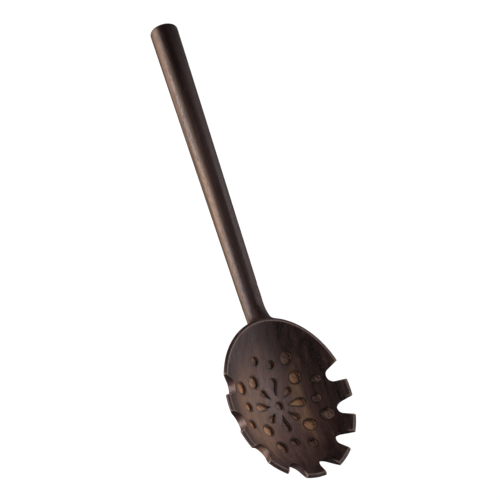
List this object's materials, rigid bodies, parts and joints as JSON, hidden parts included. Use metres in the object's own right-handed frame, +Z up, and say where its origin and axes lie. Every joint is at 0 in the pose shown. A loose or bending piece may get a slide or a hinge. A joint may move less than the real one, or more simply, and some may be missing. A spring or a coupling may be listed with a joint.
{
  "type": "spaghetti server",
  "caption": "Carved dark wooden pasta server: an oval bowl with notched teeth round its rim and a carved flower and dots inside, on a long round handle.",
  "frame": {"origin": "middle of the bounding box in plan, on the surface that the server lies on", "axes": "+X from the end of the handle to the tip of the bowl, +Z up out of the hollow of the bowl, +Y across"},
  "size_m": [0.3089, 0.0836, 0.02],
  "materials": {
    "dark_wood": "satin oiled"
  },
  "bodies": {
    "root": {"spaghetti_server": "dark_wood"}
  },
  "joints": []
}
